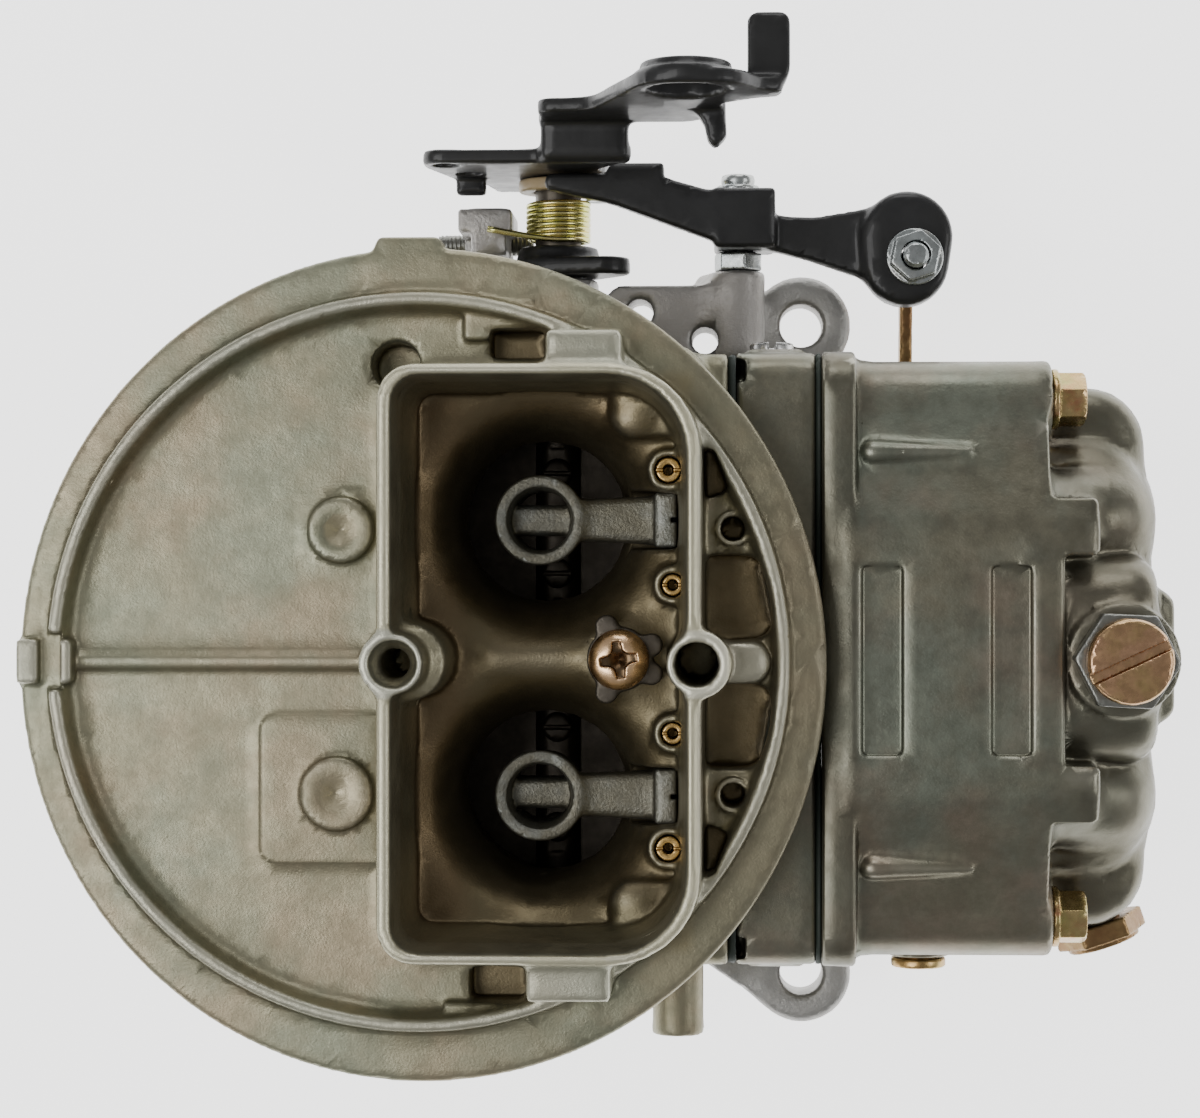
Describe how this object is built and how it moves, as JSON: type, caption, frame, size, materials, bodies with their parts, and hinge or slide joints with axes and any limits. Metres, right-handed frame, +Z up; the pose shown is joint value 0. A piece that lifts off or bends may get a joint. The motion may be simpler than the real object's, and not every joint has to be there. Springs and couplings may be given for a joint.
{
  "type": "carburetor",
  "caption": "Two-barrel downdraft carburetor with air-horn flange, front fuel bowl, throttle body, throttle linkage and accelerator-pump lever.",
  "frame": {"origin": "centre of the mounting flange's bottom face, midway between the two throttle bores", "axes": "+X towards the fuel bowl, +Y towards the throttle-lever side, +Z up through the air horn"},
  "size_m": [0.2085, 0.1928, 0.1044],
  "materials": {
    "olive_casting": "satin olive-khaki chromate over zinc casting",
    "bare_casting": "machined and as-cast aluminium",
    "grey_casting": "satin grey-olive chromate",
    "zinc": "satin zinc plate",
    "steel": "bright steel",
    "brass": "machined brass",
    "yellow_zinc": "yellow zinc chromate",
    "bronze": "bronze-toned chromate",
    "black_steel": "satin black oxide",
    "gasket": "dark green-black fibre",
    "rubber": "matt rubber",
    "cam_plastic": "tan moulded plastic",
    "float_foam": "closed-cell black-brown float"
  },
  "bodies": {
    "carburetor": {"throttle_body": "bare_casting", "throttle_body_gasket": "gasket", "body_screw_1": "zinc", "body_screw_2": "zinc", "body_screw_3": "zinc", "body_screw_4": "zinc", "main_body": "olive_casting", "booster_l": "zinc", "booster_r": "zinc", "air_bleed_1": "brass", "air_bleed_2": "brass", "air_bleed_3": "brass", "air_bleed_4": "brass", "discharge_nozzle": "zinc", "nozzle_screw": "yellow_zinc", "main_body_gasket": "gasket", "metering_block": "grey_casting", "main_jet_1": "brass", "main_jet_2": "brass", "power_valve": "brass", "bowl_gasket": "gasket", "fuel_bowl": "grey_casting", "bowl_screw_l_low": "yellow_zinc", "bowl_screw_l_top": "yellow_zinc", "bowl_screw_r_low": "yellow_zinc", "bowl_screw_r_top": "yellow_zinc", "float_pin": "steel", "sight_plug": "brass", "inlet_fitting": "bronze", "pump_cover": "grey_casting", "pump_lever_pin": "steel", "pump_lever_stud": "zinc", "throttle_spring": "yellow_zinc"},
    "throttle": {"throttle_shaft": "zinc", "throttle_plate_l": "brass", "throttle_plate_r": "brass", "plate_screw_1": "brass", "plate_screw_2": "brass", "plate_screw_3": "brass", "plate_screw_4": "brass", "throttle_lever": "black_steel", "shaft_nut": "zinc", "stop_lever": "black_steel", "pump_cam": "cam_plastic", "cam_screw": "zinc"},
    "pump_arm": {"pump_lever": "black_steel", "pump_bolt": "zinc", "pump_bolt_nut": "zinc", "pump_bolt_spring": "steel"},
    "diaphragm_lever": {"pump_diaphragm_lever": "bronze"},
    "diaphragm": {"pump_diaphragm": "rubber"},
    "float": {"float": "float_foam"},
    "needle": {"inlet_needle": "steel"},
    "adjuster": {"adjusting_nut": "zinc", "needle_seat": "brass"},
    "lock": {"lock_screw": "yellow_zinc"},
    "idle_mixture_l": {"idle_mixture_screw_l": "steel"},
    "idle_mixture_r": {"idle_mixture_screw_r": "steel"},
    "idle_speed": {"idle_speed_screw": "zinc"},
    "valve_stem": {"power_valve_stem": "steel"}
  },
  "joints": [
    {"name": "throttle_turn", "type": "hinge", "parent": "carburetor", "child": "throttle", "pos_m": [0, 0, 0.013], "axis": [0, -1, 0], "range_deg": [0, 75], "stiffness_Nm_per_rad": 0.05, "springref_deg": -57.3, "deforming": ["throttle_spring"]},
    {"name": "pump_arm_turn", "type": "hinge", "parent": "carburetor", "child": "pump_arm", "pos_m": [0.0362, 0, 0.016], "axis": [0, 1, 0], "range_deg": [0, 8.1]},
    {"name": "diaphragm_lever_turn", "type": "hinge", "parent": "carburetor", "child": "diaphragm_lever", "pos_m": [0.0705, 0.046, -0.0005], "axis": [-1, 0, 0], "range_deg": [0, 8.9]},
    {"name": "diaphragm_slide", "type": "slide", "parent": "carburetor", "child": "diaphragm", "axis": [0, 0, 1], "range_m": [0, 0.0042]},
    {"name": "float_swing", "type": "hinge", "parent": "carburetor", "child": "float", "pos_m": [0.1105, 0, 0.046], "axis": [0, 1, 0], "range_deg": [0, 15]},
    {"name": "needle_slide", "type": "slide", "parent": "carburetor", "child": "needle", "axis": [0, 0, 1], "range_m": [0, 0.0018]},
    {"name": "adjuster_turn", "type": "hinge", "parent": "carburetor", "child": "adjuster", "pos_m": [0.1052, 0, 0.075], "axis": [0, 0, 1], "range_deg": [-170, 170]},
    {"name": "lock_screw_turn", "type": "hinge", "parent": "carburetor", "child": "lock", "pos_m": [0.1052, 0, 0.08], "axis": [0, 0, 1], "range_deg": [-170, 170]},
    {"name": "idle_mixture_l_turn", "type": "hinge", "parent": "carburetor", "child": "idle_mixture_l", "pos_m": [0.0427, 0.06, 0.03], "axis": [0, 1, 0], "range_deg": [-170, 170]},
    {"name": "idle_mixture_r_turn", "type": "hinge", "parent": "carburetor", "child": "idle_mixture_r", "pos_m": [0.0427, -0.06, 0.03], "axis": [0, -1, 0], "range_deg": [-170, 170]},
    {"name": "idle_speed_turn", "type": "hinge", "parent": "carburetor", "child": "idle_speed", "pos_m": [-0.025, 0.0825, 0.005], "axis": [-1, 0, 0], "range_deg": [-170, 170]},
    {"name": "valve_stem_slide", "type": "slide", "parent": "carburetor", "child": "valve_stem", "axis": [1, 0, 0], "range_m": [-0.0012, 0], "stiffness_N_per_m": 20, "springref_m": 0.001}
  ],
  "couplings": [
    {"joint": "pump_arm_turn", "follows": "throttle_turn", "ratio": 0.1066},
    {"joint": "diaphragm_lever_turn", "follows": "throttle_turn", "ratio": 0.1168},
    {"joint": "diaphragm_slide", "follows": "throttle_turn", "m_per_rad": 0.00314},
    {"joint": "needle_slide", "follows": "float_swing", "m_per_rad": 0.0065}
  ]
}
